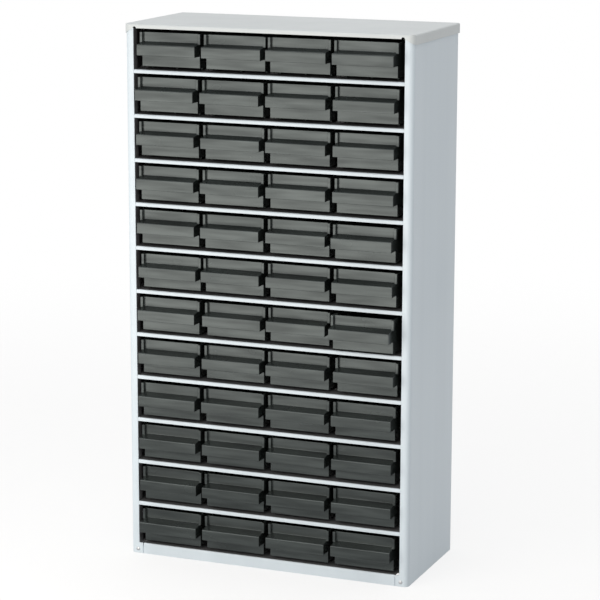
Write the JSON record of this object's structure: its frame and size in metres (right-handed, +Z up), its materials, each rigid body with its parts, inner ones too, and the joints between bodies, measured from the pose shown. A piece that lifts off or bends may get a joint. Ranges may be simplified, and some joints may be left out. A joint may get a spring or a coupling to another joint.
{
  "type": "parts bin cabinet",
  "caption": "Steel cabinet for small parts, with shelves that carry rows of pull-out plastic drawers, for a bench top or a wall.",
  "frame": {"origin": "middle of the cabinet's underside, halfway through the depth of its steel case", "axes": "+Z up, +X to the right of someone facing the drawers, drawers pull out towards -Y"},
  "size_m": [0.308, 0.1571, 0.552],
  "materials": {
    "case": "pale grey powder coat, satin",
    "cover": "light grey powder coat, satin",
    "drawer": "dark grey moulded plastic, glossy",
    "rivet": "dull aluminium"
  },
  "bodies": {
    "cabinet": {"left_side": "case", "right_side": "case", "top_cover": "cover", "base_pan": "case", "back_panel": "case", "shelves": "case", "drawer_guides": "case", "rivets": "rivet"},
    "drawer_r1_c1": {"drawer_r1_c1": "drawer"},
    "drawer_r1_c2": {"drawer_r1_c2": "drawer"},
    "drawer_r1_c3": {"drawer_r1_c3": "drawer"},
    "drawer_r1_c4": {"drawer_r1_c4": "drawer"},
    "drawer_r2_c1": {"drawer_r2_c1": "drawer"},
    "drawer_r2_c2": {"drawer_r2_c2": "drawer"},
    "drawer_r2_c3": {"drawer_r2_c3": "drawer"},
    "drawer_r2_c4": {"drawer_r2_c4": "drawer"},
    "drawer_r3_c1": {"drawer_r3_c1": "drawer"},
    "drawer_r3_c2": {"drawer_r3_c2": "drawer"},
    "drawer_r3_c3": {"drawer_r3_c3": "drawer"},
    "drawer_r3_c4": {"drawer_r3_c4": "drawer"},
    "drawer_r4_c1": {"drawer_r4_c1": "drawer"},
    "drawer_r4_c2": {"drawer_r4_c2": "drawer"},
    "drawer_r4_c3": {"drawer_r4_c3": "drawer"},
    "drawer_r4_c4": {"drawer_r4_c4": "drawer"},
    "drawer_r5_c1": {"drawer_r5_c1": "drawer"},
    "drawer_r5_c2": {"drawer_r5_c2": "drawer"},
    "drawer_r5_c3": {"drawer_r5_c3": "drawer"},
    "drawer_r5_c4": {"drawer_r5_c4": "drawer"},
    "drawer_r6_c1": {"drawer_r6_c1": "drawer"},
    "drawer_r6_c2": {"drawer_r6_c2": "drawer"},
    "drawer_r6_c3": {"drawer_r6_c3": "drawer"},
    "drawer_r6_c4": {"drawer_r6_c4": "drawer"},
    "drawer_r7_c1": {"drawer_r7_c1": "drawer"},
    "drawer_r7_c2": {"drawer_r7_c2": "drawer"},
    "drawer_r7_c3": {"drawer_r7_c3": "drawer"},
    "drawer_r7_c4": {"drawer_r7_c4": "drawer"},
    "drawer_r8_c1": {"drawer_r8_c1": "drawer"},
    "drawer_r8_c2": {"drawer_r8_c2": "drawer"},
    "drawer_r8_c3": {"drawer_r8_c3": "drawer"},
    "drawer_r8_c4": {"drawer_r8_c4": "drawer"},
    "drawer_r9_c1": {"drawer_r9_c1": "drawer"},
    "drawer_r9_c2": {"drawer_r9_c2": "drawer"},
    "drawer_r9_c3": {"drawer_r9_c3": "drawer"},
    "drawer_r9_c4": {"drawer_r9_c4": "drawer"},
    "drawer_r10_c1": {"drawer_r10_c1": "drawer"},
    "drawer_r10_c2": {"drawer_r10_c2": "drawer"},
    "drawer_r10_c3": {"drawer_r10_c3": "drawer"},
    "drawer_r10_c4": {"drawer_r10_c4": "drawer"},
    "drawer_r11_c1": {"drawer_r11_c1": "drawer"},
    "drawer_r11_c2": {"drawer_r11_c2": "drawer"},
    "drawer_r11_c3": {"drawer_r11_c3": "drawer"},
    "drawer_r11_c4": {"drawer_r11_c4": "drawer"},
    "drawer_r12_c1": {"drawer_r12_c1": "drawer"},
    "drawer_r12_c2": {"drawer_r12_c2": "drawer"},
    "drawer_r12_c3": {"drawer_r12_c3": "drawer"},
    "drawer_r12_c4": {"drawer_r12_c4": "drawer"}
  },
  "joints": [
    {"name": "slide_r1_c1", "type": "slide", "parent": "cabinet", "child": "drawer_r1_c1", "axis": [0, -1, 0], "range_m": [-0.0002, 0.1197]},
    {"name": "slide_r1_c2", "type": "slide", "parent": "cabinet", "child": "drawer_r1_c2", "axis": [0, -1, 0], "range_m": [-0.0011, 0.1188]},
    {"name": "slide_r1_c3", "type": "slide", "parent": "cabinet", "child": "drawer_r1_c3", "axis": [0, -1, 0], "range_m": [-0.0015, 0.1184]},
    {"name": "slide_r1_c4", "type": "slide", "parent": "cabinet", "child": "drawer_r1_c4", "axis": [0, -1, 0], "range_m": [-0.004, 0.1159]},
    {"name": "slide_r2_c1", "type": "slide", "parent": "cabinet", "child": "drawer_r2_c1", "axis": [0, -1, 0], "range_m": [-0.0019, 0.118]},
    {"name": "slide_r2_c2", "type": "slide", "parent": "cabinet", "child": "drawer_r2_c2", "axis": [0, -1, 0], "range_m": [-0.0017, 0.1182]},
    {"name": "slide_r2_c3", "type": "slide", "parent": "cabinet", "child": "drawer_r2_c3", "axis": [0, -1, 0], "range_m": [-0.0016, 0.1183]},
    {"name": "slide_r2_c4", "type": "slide", "parent": "cabinet", "child": "drawer_r2_c4", "axis": [0, -1, 0], "range_m": [-0.0007, 0.1192]},
    {"name": "slide_r3_c1", "type": "slide", "parent": "cabinet", "child": "drawer_r3_c1", "axis": [0, -1, 0], "range_m": [-0.0001, 0.1198]},
    {"name": "slide_r3_c2", "type": "slide", "parent": "cabinet", "child": "drawer_r3_c2", "axis": [0, -1, 0], "range_m": [-0.0001, 0.1198]},
    {"name": "slide_r3_c3", "type": "slide", "parent": "cabinet", "child": "drawer_r3_c3", "axis": [0, -1, 0], "range_m": [-0.0017, 0.1182]},
    {"name": "slide_r3_c4", "type": "slide", "parent": "cabinet", "child": "drawer_r3_c4", "axis": [0, -1, 0], "range_m": [-0.0005, 0.1194]},
    {"name": "slide_r4_c1", "type": "slide", "parent": "cabinet", "child": "drawer_r4_c1", "axis": [0, -1, 0], "range_m": [-0.0016, 0.1183]},
    {"name": "slide_r4_c2", "type": "slide", "parent": "cabinet", "child": "drawer_r4_c2", "axis": [0, -1, 0], "range_m": [-0.0019, 0.118]},
    {"name": "slide_r4_c3", "type": "slide", "parent": "cabinet", "child": "drawer_r4_c3", "axis": [0, -1, 0], "range_m": [-0.0012, 0.1187]},
    {"name": "slide_r4_c4", "type": "slide", "parent": "cabinet", "child": "drawer_r4_c4", "axis": [0, -1, 0], "range_m": [-0.001, 0.1189]},
    {"name": "slide_r5_c1", "type": "slide", "parent": "cabinet", "child": "drawer_r5_c1", "axis": [0, -1, 0], "range_m": [-0.0008, 0.1191]},
    {"name": "slide_r5_c2", "type": "slide", "parent": "cabinet", "child": "drawer_r5_c2", "axis": [0, -1, 0], "range_m": [-0.002, 0.1179]},
    {"name": "slide_r5_c3", "type": "slide", "parent": "cabinet", "child": "drawer_r5_c3", "axis": [0, -1, 0], "range_m": [-0.0016, 0.1183]},
    {"name": "slide_r5_c4", "type": "slide", "parent": "cabinet", "child": "drawer_r5_c4", "axis": [0, -1, 0], "range_m": [-0.005, 0.1149]},
    {"name": "slide_r6_c1", "type": "slide", "parent": "cabinet", "child": "drawer_r6_c1", "axis": [0, -1, 0], "range_m": [-0.0021, 0.1178]},
    {"name": "slide_r6_c2", "type": "slide", "parent": "cabinet", "child": "drawer_r6_c2", "axis": [0, -1, 0], "range_m": [-0.0013, 0.1186]},
    {"name": "slide_r6_c3", "type": "slide", "parent": "cabinet", "child": "drawer_r6_c3", "axis": [0, -1, 0], "range_m": [-0.0012, 0.1187]},
    {"name": "slide_r6_c4", "type": "slide", "parent": "cabinet", "child": "drawer_r6_c4", "axis": [0, -1, 0], "range_m": [-0.0019, 0.118]},
    {"name": "slide_r7_c1", "type": "slide", "parent": "cabinet", "child": "drawer_r7_c1", "axis": [0, -1, 0], "range_m": [-0.0018, 0.1181]},
    {"name": "slide_r7_c2", "type": "slide", "parent": "cabinet", "child": "drawer_r7_c2", "axis": [0, -1, 0], "range_m": [-0.0024, 0.1175]},
    {"name": "slide_r7_c3", "type": "slide", "parent": "cabinet", "child": "drawer_r7_c3", "axis": [0, -1, 0], "range_m": [-0.0007, 0.1192]},
    {"name": "slide_r7_c4", "type": "slide", "parent": "cabinet", "child": "drawer_r7_c4", "axis": [0, -1, 0], "range_m": [-0.01, 0.1099]},
    {"name": "slide_r8_c1", "type": "slide", "parent": "cabinet", "child": "drawer_r8_c1", "axis": [0, -1, 0], "range_m": [-0.0012, 0.1187]},
    {"name": "slide_r8_c2", "type": "slide", "parent": "cabinet", "child": "drawer_r8_c2", "axis": [0, -1, 0], "range_m": [-0.0002, 0.1197]},
    {"name": "slide_r8_c3", "type": "slide", "parent": "cabinet", "child": "drawer_r8_c3", "axis": [0, -1, 0], "range_m": [-0.0014, 0.1185]},
    {"name": "slide_r8_c4", "type": "slide", "parent": "cabinet", "child": "drawer_r8_c4", "axis": [0, -1, 0], "range_m": [-0.0013, 0.1186]},
    {"name": "slide_r9_c1", "type": "slide", "parent": "cabinet", "child": "drawer_r9_c1", "axis": [0, -1, 0], "range_m": [-0.0024, 0.1175]},
    {"name": "slide_r9_c2", "type": "slide", "parent": "cabinet", "child": "drawer_r9_c2", "axis": [0, -1, 0], "range_m": [-0.0022, 0.1177]},
    {"name": "slide_r9_c3", "type": "slide", "parent": "cabinet", "child": "drawer_r9_c3", "axis": [0, -1, 0], "range_m": [-0.0014, 0.1185]},
    {"name": "slide_r9_c4", "type": "slide", "parent": "cabinet", "child": "drawer_r9_c4", "axis": [0, -1, 0], "range_m": [-0.0019, 0.118]},
    {"name": "slide_r10_c1", "type": "slide", "parent": "cabinet", "child": "drawer_r10_c1", "axis": [0, -1, 0], "range_m": [-0.0013, 0.1186]},
    {"name": "slide_r10_c2", "type": "slide", "parent": "cabinet", "child": "drawer_r10_c2", "axis": [0, -1, 0], "range_m": [-0.001, 0.1189]},
    {"name": "slide_r10_c3", "type": "slide", "parent": "cabinet", "child": "drawer_r10_c3", "axis": [0, -1, 0], "range_m": [-0.0006, 0.1193]},
    {"name": "slide_r10_c4", "type": "slide", "parent": "cabinet", "child": "drawer_r10_c4", "axis": [0, -1, 0], "range_m": [-0.0003, 0.1196]},
    {"name": "slide_r11_c1", "type": "slide", "parent": "cabinet", "child": "drawer_r11_c1", "axis": [0, -1, 0], "range_m": [-0.0003, 0.1196]},
    {"name": "slide_r11_c2", "type": "slide", "parent": "cabinet", "child": "drawer_r11_c2", "axis": [0, -1, 0], "range_m": [-0.0017, 0.1182]},
    {"name": "slide_r11_c3", "type": "slide", "parent": "cabinet", "child": "drawer_r11_c3", "axis": [0, -1, 0], "range_m": [-0.0003, 0.1196]},
    {"name": "slide_r11_c4", "type": "slide", "parent": "cabinet", "child": "drawer_r11_c4", "axis": [0, -1, 0], "range_m": [-0.0003, 0.1196]},
    {"name": "slide_r12_c1", "type": "slide", "parent": "cabinet", "child": "drawer_r12_c1", "axis": [0, -1, 0], "range_m": [-0.0019, 0.118]},
    {"name": "slide_r12_c2", "type": "slide", "parent": "cabinet", "child": "drawer_r12_c2", "axis": [0, -1, 0], "range_m": [-0.0019, 0.118]},
    {"name": "slide_r12_c3", "type": "slide", "parent": "cabinet", "child": "drawer_r12_c3", "axis": [0, -1, 0], "range_m": [-0.0017, 0.1182]},
    {"name": "slide_r12_c4", "type": "slide", "parent": "cabinet", "child": "drawer_r12_c4", "axis": [0, -1, 0], "range_m": [-0.0017, 0.1182]}
  ]
}
